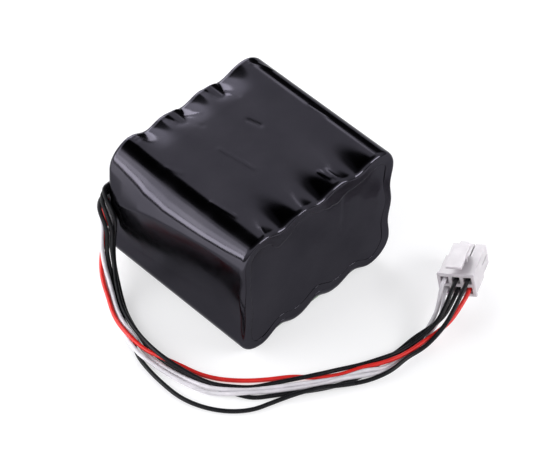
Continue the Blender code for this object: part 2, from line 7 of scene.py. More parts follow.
import bmesh
import bpy
import numpy as np
from mathutils import Matrix, Vector


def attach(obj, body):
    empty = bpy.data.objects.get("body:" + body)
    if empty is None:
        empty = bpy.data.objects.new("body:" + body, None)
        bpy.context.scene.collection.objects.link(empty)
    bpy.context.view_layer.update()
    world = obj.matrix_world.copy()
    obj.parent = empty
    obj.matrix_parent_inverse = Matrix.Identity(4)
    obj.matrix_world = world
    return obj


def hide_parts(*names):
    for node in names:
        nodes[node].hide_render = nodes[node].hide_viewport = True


MM = 0.001

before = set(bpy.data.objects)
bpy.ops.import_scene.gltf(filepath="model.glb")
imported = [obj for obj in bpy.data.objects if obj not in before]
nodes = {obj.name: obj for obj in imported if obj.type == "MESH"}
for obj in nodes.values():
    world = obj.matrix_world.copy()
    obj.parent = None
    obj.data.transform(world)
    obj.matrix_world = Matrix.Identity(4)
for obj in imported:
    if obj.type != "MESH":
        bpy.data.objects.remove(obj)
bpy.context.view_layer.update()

# ---------------------------------------------------------------- camera

AZIMUTH = math.radians(-45.238)
ELEVATION = math.radians(47.817)
ROLL = math.radians(1.0)
DISTANCE = 1012.621
SHIFT = (6.63, 7.70)
SENSOR = 36.0
LENS = 189.46

camera_data = bpy.data.cameras.new("camera")
camera_data.sensor_fit = "HORIZONTAL"
camera_data.sensor_width = SENSOR
camera_data.lens = LENS
camera_data.clip_end = 20.0
camera = bpy.data.objects.new("camera", camera_data)
bpy.context.scene.collection.objects.link(camera)
bpy.context.scene.camera = camera
across = Vector((math.cos(AZIMUTH), math.sin(AZIMUTH), 0))
away = Vector((
    math.sin(AZIMUTH) * math.cos(ELEVATION),
    -math.cos(AZIMUTH) * math.cos(ELEVATION),
    math.sin(ELEVATION),
))
above = away.cross(across)
right = math.cos(ROLL) * across + math.sin(ROLL) * above
up = -math.sin(ROLL) * across + math.cos(ROLL) * above
view = Matrix((right, up, away)).transposed().to_4x4()
view.translation = (away * DISTANCE + right * SHIFT[0] + up * SHIFT[1]) * MM
camera.matrix_world = view


# ---------------------------------------------------------------- materials

def node_material(name):
    made = bpy.data.materials.new(name)
    made.use_nodes = True
    tree = made.node_tree
    return made, tree, tree.nodes["Principled BSDF"]


def add_node(tree, kind, **settings):
    node = tree.nodes.new(kind)
    for key, value in settings.items():
        if key in node.inputs:
            node.inputs[key].default_value = value
        else:
            setattr(node, key, value)
    return node


def noise(tree, scale, detail=3.0, rough=0.5, stretch=(1, 1, 1)):
    place = add_node(tree, "ShaderNodeTexCoord")
    mapping = add_node(tree, "ShaderNodeMapping")
    mapping.inputs["Scale"].default_value = stretch
    field = add_node(tree, "ShaderNodeTexNoise")
    field.inputs["Scale"].default_value = scale
    field.inputs["Detail"].default_value = detail
    field.inputs["Roughness"].default_value = rough
    tree.links.new(place.outputs["Object"], mapping.inputs["Vector"])
    tree.links.new(mapping.outputs["Vector"], field.inputs["Vector"])
    return field.outputs["Fac"]


def ramp(tree, source, low, high, places=(0.3, 0.7)):
    node = add_node(tree, "ShaderNodeValToRGB")
    node.color_ramp.elements[0].position = places[0]
    node.color_ramp.elements[1].position = places[1]
    node.color_ramp.elements[0].color = (*low, 1)
    node.color_ramp.elements[1].color = (*high, 1)
    tree.links.new(source, node.inputs["Fac"])
    return node.outputs["Color"]


def remap(tree, source, low, high, ends=(0.3, 0.7), smooth=False):
    """Stretches the part of `source` between `ends` so that it runs from `low` to `high`."""
    node = add_node(tree, "ShaderNodeMapRange")
    if smooth:
        node.interpolation_type = "SMOOTHSTEP"
    node.inputs["From Min"].default_value = ends[0]
    node.inputs["From Max"].default_value = ends[1]
    node.inputs["To Min"].default_value = low
    node.inputs["To Max"].default_value = high
    tree.links.new(source, node.inputs["Value"])
    return node.outputs["Result"]


def bumps(tree, shader, layers):
    """Stacks bump nodes; each layer is (height source, strength, distance in mm)."""
    last = None
    for source, strength, distance in layers:
        node = add_node(tree, "ShaderNodeBump")
        node.inputs["Strength"].default_value = strength
        node.inputs["Distance"].default_value = distance * MM
        tree.links.new(source, node.inputs["Height"])
        if last:
            tree.links.new(last, node.inputs["Normal"])
        last = node.outputs["Normal"]
    tree.links.new(last, shader.inputs["Normal"])


def film_material():
    made, tree, shader = node_material("shrink_film")
    tint = ramp(tree, noise(tree, 60), (0.033, 0.0315, 0.039), (0.040, 0.038, 0.046))
    tree.links.new(tint, shader.inputs["Base Color"])
    tree.links.new(remap(tree, noise(tree, 90, 4), 0.10, 0.18), shader.inputs["Roughness"])
    shader.inputs["Metallic"].default_value = 1.0
    shader.inputs["Specular Tint"].default_value = (0.54, 0.54, 0.55, 1)
    broad = noise(tree, 70, 2, 0.45)
    creased = noise(tree, 190, 3, 0.55, (1, 0.25, 1))
    fine = noise(tree, 900, 3, 0.6)
    bumps(tree, shader, [(broad, 0.16, 0.5), (creased, 0.05, 0.2), (fine, 0.05, 0.02)])
    return made


def pvc_material(name, low, high, rough, shine=0.5):
    made, tree, shader = node_material(name)
    tree.links.new(ramp(tree, noise(tree, 260), low, high), shader.inputs["Base Color"])
    tree.links.new(remap(tree, noise(tree, 700), rough - 0.05, rough + 0.06), shader.inputs["Roughness"])
    shader.inputs["IOR"].default_value = 1.45
    shader.inputs["Specular IOR Level"].default_value = shine
    bumps(tree, shader, [(noise(tree, 400, 2), 0.12, 0.06), (noise(tree, 2600, 2), 0.1, 0.01)])
    return made


def plain_material(name, low, high, rough, metallic=0.0, scale=300.0, bump=0.1, stretch=(1, 1, 1)):
    made, tree, shader = node_material(name)
    tree.links.new(
        ramp(tree, noise(tree, scale, stretch=stretch), low, high), shader.inputs["Base Color"]
    )
    tree.links.new(
        remap(tree, noise(tree, scale * 2, stretch=stretch), rough - 0.06, rough + 0.06),
        shader.inputs["Roughness"],
    )
    shader.inputs["Metallic"].default_value = metallic
    bumps(tree, shader, [(noise(tree, scale * 4, stretch=stretch), bump, 0.03)])
    return made


def nylon_material():
    made, tree, shader = node_material("natural_nylon")
    tint = ramp(tree, noise(tree, 240), (0.52, 0.49, 0.515), (0.60, 0.57, 0.595))
    tree.links.new(tint, shader.inputs["Base Color"])
    tree.links.new(remap(tree, noise(tree, 800), 0.30, 0.42), shader.inputs["Roughness"])
    shader.inputs["IOR"].default_value = 1.53
    shader.inputs["Subsurface Weight"].default_value = 0.35
    shader.inputs["Subsurface Radius"].default_value = (1.0, 0.9, 1.0)
    shader.inputs["Subsurface Scale"].default_value = 0.0015
    bumps(tree, shader, [(noise(tree, 600, 2), 0.10, 0.05)])
    return made


FILM = film_material()
RED = pvc_material("red_lead", (0.60, 0.012, 0.010), (0.74, 0.024, 0.018), 0.36)
BLACK = pvc_material("black_lead", (0.006, 0.006, 0.007), (0.012, 0.012, 0.014), 0.30, 0.18)
WHITE = pvc_material("white_lead", (0.60, 0.58, 0.61), (0.74, 0.71, 0.75), 0.40)
NYLON = nylon_material()
BRASS = plain_material("tinned_brass", (0.62, 0.58, 0.50), (0.80, 0.77, 0.70), 0.30, 1.0, 500)
JACKET = plain_material("cell_jacket", (0.03, 0.12, 0.36), (0.05, 0.17, 0.46), 0.34, 0.0, 120)
NICKEL = plain_material(
    "nickel_sheet", (0.55, 0.53, 0.50), (0.74, 0.72, 0.69), 0.34, 1.0, 300, 0.15, (1, 1, 0.2)
)
PAPER = plain_material("insulating_paper", (0.24, 0.33, 0.24), (0.36, 0.44, 0.33), 0.8, 0.0, 500, 0.3)
BOARD = plain_material("circuit_board", (0.01, 0.12, 0.04), (0.02, 0.20, 0.07), 0.42, 0.0, 700)
CHIP = plain_material("chip_body", (0.012, 0.012, 0.013), (0.03, 0.03, 0.032), 0.55, 0.0, 900, 0.3)
CERAMIC = plain_material("ceramic", (0.30, 0.21, 0.14), (0.42, 0.32, 0.22), 0.5, 0.0, 700)
EPOXY = plain_material("epoxy", (0.01, 0.01, 0.011), (0.02, 0.02, 0.022), 0.32, 0.0, 500)

CARRIED = {
    "cell_": JACKET,
    "plate_": NICKEL,
    "insulating_": PAPER,
    "protection_board": BOARD,
    "protection_chip": CHIP,
    "mosfet_": CHIP,
    "shunt_": CHIP,
    "capacitor_": CERAMIC,
    "thermistor": EPOXY,
    "sense_wire_": BLACK,
    "plug_": NYLON,
    "terminal_": BRASS,
}
for name, node in nodes.items():
    for start, mat in CARRIED.items():
        if name.startswith(start):
            node.data.materials.clear()
            node.data.materials.append(mat)


# ---------------------------------------------------------------- leads

CELL_PITCH = 18.3
CELL_RADIUS = 9.05
PACK_WIDTH = 74.2
PACK_HEIGHT = 55.9
CORNER_RADIUS = 9.65
NEAR_FACE = -35.1
FAR_RIM = 32.4
LEAD_PLANE = 33.75
LEAD_RADIUS = 0.8
BULGE_LEFT = -33.4
GROUND_GAP = 0.05
GROUND = LEAD_RADIUS + 0.1

# The bundle's middle line, from below the slit in the cover, down to the ground and along it
ROUTE = [
    (-40.7, 29.7, 24.4),
    (-41.5, 29.2, 18.6),
    (-42.9, 28.2, 12.8),
    (-45.0, 25.6, 8.0),
    (-47.8, 21.4, 4.4),
    (-50.8, 16.6, 2.1),
    (-53.8, 11.0, GROUND),
    (-56.0, 5.0, GROUND),
    (-57.4, -1.5, GROUND),
    (-58.0, -8.5, GROUND),
    (-57.8, -15.5, GROUND),
    (-57.0, -22.5, GROUND),
    (-55.2, -29.5, GROUND),
    (-52.6, -36.2, GROUND),
    (-49.0, -42.2, GROUND),
    (-44.4, -47.4, GROUND),
    (-38.6, -51.8, GROUND),
    (-31.8, -55.8, GROUND),
    (-24.6, -60.2, GROUND),
    (-17.6, -64.4, GROUND),
    (-10.4, -67.8, GROUND),
    (-3.0, -70.6, GROUND),
    (4.6, -72.2, GROUND),
    (12.0, -73.0, 1.5),
    (18.2, -73.9, 3.8),
    (24.4, -73.6, 7.0),
]

# Which way is outwards at the route's first points, where it is too steep to say
DROP_ACROSS = [
    (-0.8, 0.6, 0),
    (-0.85, 0.52, 0),
]

# Each lead's place in the bundle at every point of ROUTE: millimetres outwards, millimetres up
LEADS = {
    "lead_white_1": [
        (1.8, -0.7), (2.1, 0.7), (1.5, 1.1), (1.1, 1.4), (0.35, 1.6),
        (0.0, 1.55), (0.0, 1.55), (0.2, 1.55), (0.2, 1.75), (1.0, 0),
        (1.4, 0), (1.15, 0), (1.5, 0.4), (2.2, 1.4), (1.45, 1.75),
        (0.15, 0.75), (-0.65, 0), (-0.1, 0), (0.25, 0), (0.75, 0.3),
        (1.45, 1.9), (1.85, 0.1), (0.4, 0), (-0.2, 0), (-2.8, -1.0),
        (-3.5, 0),
    ],
    "lead_white_2": [
        (-1.9, -0.9), (-0.9, -0.9), (-0.35, -0.8), (0.5, -0.9), (0.9, -0.2),
        (0.9, 0), (0.9, 0), (1.2, 0), (2.5, 0.9), (4.0, 1.9),
        (3.2, 0.35), (2.9, 0), (3.2, 0), (3.4, 0), (3.25, 1.75),
        (1.75, 1.4), (1.1, 0), (1.65, 0), (2.0, 0.3), (2.2, 1.6),
        (3.3, 1.6), (3.5, 0.4), (2.2, 0), (1.6, 0), (-1.0, -1.2),
        (-2.1, -2.2),
    ],
    "lead_black_3": [
        (1.1, 1.0), (0.1, 0.85), (-0.15, 0.85), (-0.6, 0.5), (-0.85, 0.1),
        (-0.85, 0), (-0.85, 0), (-0.6, 0), (0.75, 0), (3.9, 0),
        (5.8, 0), (7.4, 0), (9.3, 0), (9.9, 0), (9.6, 0),
        (8.2, 0), (5.5, 0), (4.8, 1.2), (4.4, 1.7), (4.6, 1.0),
        (5.2, 0.9), (4.9, 1.6), (3.0, 1.5), (3.3, 1.3), (3.1, 2.0),
        (3.1, 2.6),
    ],
    "lead_black_1": [
        (-0.75, 0.9), (-1.75, 0.85), (-1.95, 1.0), (-2.3, 1.2), (-2.0, 1.45),
        (-2.0, 1.55), (-2.0, 1.55), (-1.9, 1.6), (-1.6, 1.7), (-0.6, 2.9),
        (0.25, 3.6), (-0.2, 2.4), (0.0, 1.7), (0.5, 1.7), (-0.3, 1.4),
        (-1.55, 0.1), (-2.4, 0), (-1.9, 0.8), (-1.5, 1.75), (-2.6, 0.9),
        (-2.2, 0.9), (-1.35, 1.75), (-0.75, 1.4), (-0.4, 1.75), (-0.1, 2.3),
        (-0.35, 2.2),
    ],
    "lead_red": [
        (-0.1, -0.9), (0.9, -0.9), (1.4, -0.75), (2.25, -0.2), (2.4, 1.15),
        (1.8, 1.55), (1.8, 1.55), (1.9, 1.6), (1.95, 2.6), (1.3, 1.8),
        (-0.2, 1.8), (-1.95, 1.15), (-2.8, 0), (-3.4, 0), (-4.2, 0),
        (-4.6, 0), (-4.4, 0), (-3.7, 0), (-1.5, 0), (-1.0, 0),
        (-0.3, 1.6), (0.6, 1.7), (1.25, 1.6), (1.5, 1.7), (1.6, 0.7),
        (2.9, -0.2),
    ],
    "lead_black_2": [
        (-2.75, 0.7), (-2.9, -0.6), (-2.5, -0.75), (-2.5, -0.5), (-2.8, -0.1),
        (-3.0, 0), (-3.0, 0), (-2.75, 0), (-2.2, 0), (-1.0, 0),
        (-0.6, 0), (-0.55, 0), (-0.3, 0), (0.5, 0), (1.2, 0),
        (3.0, 0), (2.85, 0), (3.4, 0), (3.75, 0), (3.0, 0),
        (1.6, 0), (-1.2, 0), (-2.1, 0), (-2.2, 1.2), (-1.4, 1.0),
        (-0.4, -0.6),
    ],
}

# Where each lead enters the plug: way across (-1, 0, 1) and row (-1 lower, 1 upper)
WAYS = {
    "lead_white_1": (-1, 1),
    "lead_white_2": (-1, -1),
    "lead_black_1": (0, 1),
    "lead_black_2": (0, -1),
    "lead_black_3": (1, 1),
    "lead_red": (1, -1),
}

# Each lead from the protection board or the thermistor, through the slit, to where ROUTE takes over
STARTS = {
    "lead_black_2": [
        (-20.0, LEAD_PLANE, 36.4), (-27.0, LEAD_PLANE, 36.4), (-34.6, LEAD_PLANE, 36.4),
        (-38.3, 33.6, 36.8), (-39.7, 31.8, 35.3), (-39.4, 29.3, 31.0), (-39.2, 28.0, 27.4),
    ],
    "lead_black_1": [
        (-20.0, LEAD_PLANE, 34.5), (-27.0, LEAD_PLANE, 34.55), (-34.6, LEAD_PLANE, 34.55),
        (-38.8, 33.7, 34.6), (-40.8, 32.0, 33.2), (-41.0, 29.9, 29.0),
    ],
    "lead_black_3": [
        (-20.0, LEAD_PLANE, 32.65), (-27.0, LEAD_PLANE, 32.7), (-34.6, LEAD_PLANE, 32.7),
        (-38.9, 33.8, 32.7), (-41.5, 33.0, 30.7), (-42.3, 31.1, 27.8),
    ],
    "lead_white_2": [
        (-18.9, LEAD_PLANE, 29.85), (-21.0, LEAD_PLANE, 30.0), (-24.5, LEAD_PLANE, 30.8),
        (-34.6, LEAD_PLANE, 30.9), (-38.2, 33.6, 30.9), (-39.2, 31.2, 29.0),
    ],
    "lead_red": [
        (-24.2, LEAD_PLANE, 29.0), (-27.0, LEAD_PLANE, 29.05), (-34.6, LEAD_PLANE, 29.05),
        (-38.7, 33.7, 28.9), (-40.1, 32.1, 27.5),
    ],
    "lead_white_1": [
        (-18.9, LEAD_PLANE, 28.15), (-21.0, LEAD_PLANE, 28.0), (-24.5, LEAD_PLANE, 27.25),
        (-34.6, LEAD_PLANE, 27.2), (-39.4, 33.9, 26.5), (-41.3, 33.3, 25.6),
    ],
}

LEAD_LOOKS = {"white": (WHITE, "white_pvc"), "black": (BLACK, "black_pvc"), "red": (RED, "red_pvc")}

# The plug's own axes: X across the ways, Y towards its mate, Z up
PLUG_POSITION = (36.3, -68.2, 9.35)
PLUG_YAW = math.radians(26.8)
PLUG_DIP = math.radians(-9.0)
PLUG_ROLL = math.radians(14.0)
WAY_PITCH = 4.2
LEAD_DEPTHS = (-3.5, 0.5, 6.2)

# How far apart a lead's points are, and how many times its kinks are worn off
LEAD_STEP = 0.8
LEAD_ROUNDS = 8


def plug_frame():
    mate = Vector((
        math.cos(PLUG_DIP) * math.cos(PLUG_YAW),
        math.cos(PLUG_DIP) * math.sin(PLUG_YAW),
        math.sin(PLUG_DIP),
    ))
    level = Vector((math.sin(PLUG_YAW), -math.cos(PLUG_YAW), 0))
    raised = level.cross(mate)
    side = math.cos(PLUG_ROLL) * level + math.sin(PLUG_ROLL) * raised
    top = side.cross(mate)
    made = Matrix((side, mate, top)).transposed().to_4x4()
    made.translation = Vector(PLUG_POSITION)
    return made


PLUG = plug_frame()


def bundle_point(station, outwards, raised):
    here = Vector(ROUTE[station])
    before = Vector(ROUTE[max(station - 1, 0)])
    after = Vector(ROUTE[min(station + 1, len(ROUTE) - 1)])
    along = (after - before).normalized()
    if station < len(DROP_ACROSS):
        sideways = Vector(DROP_ACROSS[station])
    else:
        sideways = along.cross(Vector((0, 0, 1)))
    sideways = (sideways - sideways.dot(along) * along).normalized()
    return here + outwards * sideways + raised * sideways.cross(along)


def lead_route(name):
    points = [Vector(point) for point in STARTS[name]]
    for station, (outwards, raised) in enumerate(LEADS[name]):
        points.append(bundle_point(station, outwards, raised))
    way, row = WAYS[name]
    for depth in LEAD_DEPTHS:
        points.append(PLUG @ Vector((way * WAY_PITCH, depth, row * WAY_PITCH / 2)))
    return points


def smooth_route(points, step):
    """Points about `step` apart on a Catmull-Rom curve through the given points."""
    ends = [2 * points[0] - points[1], *points, 2 * points[-1] - points[-2]]
    fine = []
    for before, start, end, after in zip(ends, ends[1:], ends[2:], ends[3:]):
        for tenth in range(10):
            t = tenth / 10
            fine.append(0.5 * (
                2 * start
                + (end - before) * t
                + (2 * before - 5 * start + 4 * end - after) * t ** 2
                + (3 * start - before - 3 * end + after) * t ** 3
            ))
    fine.append(points[-1])
    lengths = np.concatenate([[0], np.cumsum([(b - a).length for a, b in zip(fine, fine[1:])])])
    wanted = np.linspace(0, lengths[-1], max(2, round(lengths[-1] / step)) + 1)
    table = np.array(fine)
    return np.stack([np.interp(wanted, lengths, table[:, axis]) for axis in range(3)], axis=1)


def relaxed(route, rounds):
    """The same route with its small kinks worn off; the ends stay where they are."""
    for _ in range(rounds):
        middle = (route[:-2] + 2 * route[1:-1] + route[2:]) / 4
        route = np.concatenate([route[:1], middle, route[-1:]])
    route[:, 2] = np.maximum(route[:, 2], LEAD_RADIUS + GROUND_GAP)
    return route


def make_lead(name):
    colour = name.split("_")[1]
    mat, slot = LEAD_LOOKS[colour]
    route = relaxed(smooth_route(lead_route(name), LEAD_STEP), LEAD_ROUNDS)
    curve = bpy.data.curves.new(name + "_cord", "CURVE")
    curve.dimensions = "3D"
    curve.bevel_depth = LEAD_RADIUS * MM
    curve.bevel_resolution = 4
    curve.use_fill_caps = True
    spline = curve.splines.new("POLY")
    spline.points.add(len(route) - 1)
    spline.use_smooth = True
    for point, place in zip(spline.points, route):
        point.co = (*(float(value) * MM for value in place), 1)
    curve.materials.append(mat)
    cord = bpy.data.objects.new(name + "_cord", curve)
    bpy.context.scene.collection.objects.link(cord)
    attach(cord, "pack")
    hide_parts(name)


for lead_name in LEADS:
    make_lead(lead_name)


# ---------------------------------------------------------------- shrink film

STRAIGHT_STEP = 0.7
CORNER_STEPS = 24
FILM_THICKNESS = 0.2
NEAR_COVER_THICKNESS = 0.1
FAR_COVER_THICKNESS = 0.15
FAR_COVER_INSET = 2.6
HALF_WIDTH = PACK_WIDTH / 2
HALF_HEIGHT = PACK_HEIGHT / 2
MID_HEIGHT = PACK_HEIGHT / 2
BETWEEN_COLUMNS = (-CELL_PITCH, 0.0, CELL_PITCH)
BETWEEN_ROWS = (-CELL_PITCH / 2, CELL_PITCH / 2)
RIM_DEPTH = 2.0
COVER_FACE = -34.76
FAR_COVER_FACE = 32.05


def bell(distance, width):
    return np.exp(-(distance / width) ** 2)


def smooth_step(value, low, high):
    share = np.clip((value - low) / (high - low), 0, 1)
    return share * share * (3 - 2 * share)


def through(place, knots):
    """A smooth value read from (place, value) knots."""
    places, values = zip(*knots)
    index = np.clip(np.searchsorted(places, place) - 1, 0, len(places) - 2)
    low, high = np.array(places)[index], np.array(places)[index + 1]
    share = smooth_step(place, low, high)
    table = np.array(values)
    return table[index] * (1 - share) + table[index + 1] * share


def ring():
    """Points round the pack's rounded section, with outward normals, clockwise from the top left."""
    centre_x = HALF_WIDTH - CORNER_RADIUS
    centre_z = HALF_HEIGHT - CORNER_RADIUS
    points = []
    corners = [
        (centre_x, centre_z, 90),
        (centre_x, -centre_z, 0),
        (-centre_x, -centre_z, -90),
        (-centre_x, centre_z, -180),
    ]
    for index, (x, z, start) in enumerate(corners):
        for step in range(CORNER_STEPS):
            turn = math.radians(start - 90 * step / CORNER_STEPS)
            nx, nz = math.cos(turn), math.sin(turn)
            points.append((x + CORNER_RADIUS * nx, z + CORNER_RADIUS * nz, nx, nz))
        turn = math.radians(start - 90)
        nx, nz = math.cos(turn), math.sin(turn)
        next_x, next_z, _ = corners[(index + 1) % 4]
        steps = round(math.hypot(next_x - x, next_z - z) / STRAIGHT_STEP)
        for step in range(steps):
            share = step / steps
            points.append((
                x + (next_x - x) * share + CORNER_RADIUS * nx,
                z + (next_z - z) * share + CORNER_RADIUS * nz,
                nx,
                nz,
            ))
    table = np.array(points)
    return table[:, :2], table[:, 2:]


BASE, NORMAL = ring()
FLAT_TOP = np.clip(NORMAL[:, 1], 0, 1) ** 3
FLAT_BOTTOM = np.clip(-NORMAL[:, 1], 0, 1) ** 3
FLAT_LEFT = np.clip(-NORMAL[:, 0], 0, 1) ** 3
FLAT_RIGHT = np.clip(NORMAL[:, 0], 0, 1) ** 3


def valley(place, centres, power):
    """1 at each centre between two cells, 0 at the cells' crests."""
    depth = np.zeros_like(place)
    for centre in centres:
        near = np.clip(np.abs(place - centre) / (CELL_PITCH / 2), 0, 1)
        depth = np.maximum(depth, np.cos(near * math.pi / 2) ** power)
    return depth


# Creases on the top: start, end, width, height (negative is a groove)
TOP_CREASES = [
    ((8.0, 9.0), (9.4, 4.0), 0.8, -0.16),
    ((-8.8, 6.0), (-6.6, -9.4), 0.5, 0.09),
    ((-28.0, 12.0), (-26.0, 6.0), 0.45, 0.08),
    ((-28.2, -10.5), (-26.6, -21.0), 0.6, 0.14),
    ((8.4, -25.6), (9.2, -30.4), 0.55, 0.22),
    ((10.3, -27.0), (10.8, -32.0), 0.55, 0.18),
    ((31.0, 27.0), (33.2, 22.0), 0.5, 0.18),
    ((28.6, 28.5), (31.5, 24.5), 0.5, 0.14),
    ((28.6, -1.0), (29.6, -9.0), 0.7, 0.12),
    ((-10.4, 29.8), (-9.2, 25.4), 1.9, -0.55),
    ((8.4, 31.0), (9.8, 25.0), 1.9, -0.55),
    ((-26.6, 31.0), (-26.0, 29.0), 1.2, -0.25),
    ((-7.2, 28.6), (-1.2, 23.2), 0.5, 0.12),
    ((-8.6, 26.2), (-5.4, 18.0), 0.8, -0.10),
    ((11.4, 27.6), (14.2, 20.0), 0.9, -0.10),
    ((-24.6, -31.0), (-25.6, -33.4), 0.6, 0.2),
]


def creases(x, y, lines):
    total = np.zeros_like(x)
    for (x0, y0), (x1, y1), width, height in lines:
        dx, dy = x1 - x0, y1 - y0
        share = np.clip(((x - x0) * dx + (y - y0) * dy) / (dx * dx + dy * dy), 0, 1)
        total += height * bell(np.hypot(x - x0 - share * dx, y - y0 - share * dy), width)
    return total


# The gap kept over a cell's crest, and the depths over which the film is freed past the cells' ends
CELL_CLEARANCE = 0.34
FAR_CELL_END = (31.2, 31.9)
NEAR_CELL_END = (33.9, 34.4)


def room_inside(y):
    """How far in the film can go before it meets the cells, which end a little short of both rims."""
    x, z = BASE[:, 0], BASE[:, 1]
    from_column = np.abs((x / CELL_PITCH) % 1 - 0.5) * CELL_PITCH
    from_row = np.abs((z / CELL_PITCH + 0.5) % 1 - 0.5) * CELL_PITCH
    off = np.abs(NORMAL[:, 1]) ** 8 * from_column + np.abs(NORMAL[:, 0]) ** 8 * from_row
    off = np.minimum(off, CELL_RADIUS - 0.25)
    drop = CELL_RADIUS - np.sqrt(CELL_RADIUS ** 2 - off ** 2)
    beyond = smooth_step(y, *FAR_CELL_END) + smooth_step(-y, *NEAR_CELL_END)
    return CELL_CLEARANCE + drop + 4.0 * beyond


# The fold along the left side: place along the cells, height of its ridge, reach below it, rise
LEFT_FOLD = [
    (-33.0, 50.0, 20.0, 0.0),
    (-26.0, 49.4, 22.0, 0.70),
    (-16.0, 48.4, 26.0, 1.50),
    (4.0, 45.2, 28.0, 3.00),
    (14.0, 42.0, 26.0, 3.40),
    (24.0, 36.6, 22.0, 2.70),
    (30.0, 32.4, 18.0, 1.70),
    (32.4, 31.0, 16.0, 0.70),
]
FOLD_TOP = 55.0


def left_fold(height, y):
    """How far the film stands out beside the leads: a sharp ridge that falls away above and below."""
    places, ridges, reaches, rises = zip(*LEFT_FOLD)
    ridge, reach, rise = (np.interp(y, places, values) for values in (ridges, reaches, rises))
    below = np.clip((height - ridge + reach) / reach, 0, 1) ** 1.4
    above = 1 - smooth_step(height, ridge - 2.5, FOLD_TOP)
    return rise * np.minimum(below, above) - 0.25 * (1 - below)


# How far from each rim the film is still pulled in, and by how much: near rim, far rim, everywhere
NEAR_REACH = 7.0
FAR_REACH = 6.5
PULL_POWER = 1.5
TOP_SINK = (1.9, 1.3, 0.12)
BOTTOM_SINK = (2.9, 1.6, 0.15)
SIDE_SINK = (1.0, 0.8, 0.0)
LEFT_SHARE = 0.25

# Where the top slopes down towards the far rim: x, width, share of the depth
BACK_SLOPES = [(-4.0, 5.5, 1.0), (14.4, 5.5, 1.0), (-20.0, 4.5, 0.6)]
BACK_DEPTH = 1.5
BACK_LENGTH = 14.0
FAR_LEFT_LIFT = 0.5


def side_inset(y):
    """How far the film lies inside the plain section, all round it, at one depth along the cells."""
    x, z = BASE[:, 0], BASE[:, 1]
    near, far = y - NEAR_FACE, max(FAR_RIM - y, 0.0)
    near_pull = math.exp(-((near / NEAR_REACH) ** PULL_POWER))
    far_pull = math.exp(-((far / FAR_REACH) ** PULL_POWER))

    def sink(amounts):
        return amounts[0] * near_pull + amounts[1] * far_pull + amounts[2]

    across_columns = valley(x, BETWEEN_COLUMNS, 2.4)
    across_rows = valley(z, BETWEEN_ROWS, 2.0)
    inset = FLAT_TOP * across_columns * sink(TOP_SINK)
    inset += FLAT_BOTTOM * across_columns * sink(BOTTOM_SINK)
    inset += (FLAT_LEFT * LEFT_SHARE + FLAT_RIGHT) * across_rows * sink(SIDE_SINK)
    back_slope = sum(share * bell(x - centre, width) for centre, width, share in BACK_SLOPES)
    inset += FLAT_TOP * back_slope * BACK_DEPTH * smooth_step(-far, -BACK_LENGTH, 0.0)
    inset -= FLAT_TOP * bell(x + 26.5, 4.0) * FAR_LEFT_LIFT * far_pull
    left = np.clip(-NORMAL[:, 0], 0, 1) ** 0.5
    inset -= left * left_fold(z + MID_HEIGHT, y)
    top = (NORMAL[:, 1] > 0.5).astype(float)
    inset -= top * creases(x, np.full_like(x, y), TOP_CREASES)
    return np.minimum(inset, room_inside(y))


# The rim's rounding on the near end, then how far the folded lip reaches: place across, millimetres
RIM_AT_BOTTOM = [
    (-38, 2.0), (-28.5, 2.2), (-10, 3.8), (8, 4.2), (20, 2.6), (28, 1.7), (38, 1.7),
]
RIM_AT_TOP = [
    (-38, 1.1), (-24, 1.2), (-20, 1.6), (-14, 1.7), (-10, 1.0), (-1, 1.3), (4, 1.8), (11, 1.7),
    (14, 1.0), (18, 1.5), (22, 2.0), (30, 1.5), (38, 1.2),
]
RIM_AT_SIDES = 1.3
LIP_AT_TOP = [
    (-38, 2.6), (-31, 2.4), (-24, 3.2), (-21.6, 5.8), (-20.6, 6.4), (-17, 5.2), (-9.5, 3.4),
    (-5.5, 2.0), (0, 3.2), (5.5, 6.0), (8.5, 7.2), (12, 5.4), (20, 3.6), (38, 2.8),
]
LIP_ELSEWHERE = 3.0


def rim_height():
    """How far in from the side the film's rim rounding ends on the near end, all round."""
    x = BASE[:, 0]
    bottom = through(x, RIM_AT_BOTTOM)
    top = through(x, RIM_AT_TOP)
    height = RIM_AT_SIDES + FLAT_BOTTOM * (bottom - RIM_AT_SIDES)
    return height + FLAT_TOP * (top - RIM_AT_SIDES)


def lip_width():
    """How far the folded edge reaches over the near end, measured in from the rim."""
    around = np.arange(len(BASE)) / len(BASE)
    usual = LIP_ELSEWHERE + 0.5 * np.sin(around * 34.0) + 0.3 * np.sin(around * 81.0 + 1.0)
    return usual + FLAT_TOP * (through(BASE[:, 0], LIP_AT_TOP) - usual)


def placed(inset, y):
    return np.stack([
        BASE[:, 0] - NORMAL[:, 0] * inset,
        np.broadcast_to(y, inset.shape),
        BASE[:, 1] - NORMAL[:, 1] * inset + MID_HEIGHT,
    ], axis=1)


# Dimples in the near end's cover: x, z, radius, how much wider than high, depth
NEAR_DIMPLES = [
    (22.0, 31.0, 6.0, 1.4, 0.16),
    (26.0, 44.0, 4.5, 1.2, 0.12),
]
DEEPEST = 0.3


def cover_depth(x, z):
    """Shallow dimples in the near end's cover, where nothing backs it between the cells' ends."""
    depth = 0.10 * valley(x, BETWEEN_COLUMNS, 3.0) * valley(z - MID_HEIGHT, BETWEEN_ROWS, 3.0)
    depth += 0.20 * bell(x - 12.2, 1.5) * smooth_step(z, 27.0, 37.0) * smooth_step(-z, -52.0, -44.0)
    for centre_x, centre_z, radius, stretch, deep in NEAR_DIMPLES:
        depth += deep * bell(np.hypot((x - centre_x) / stretch, z - centre_z), radius)
    depth += 0.05 * np.sin(x * 0.21 + z * 0.13) + 0.04 * np.sin(x * 0.12 - z * 0.22 + 1.0)
    return np.clip(depth, 0.0, DEEPEST)


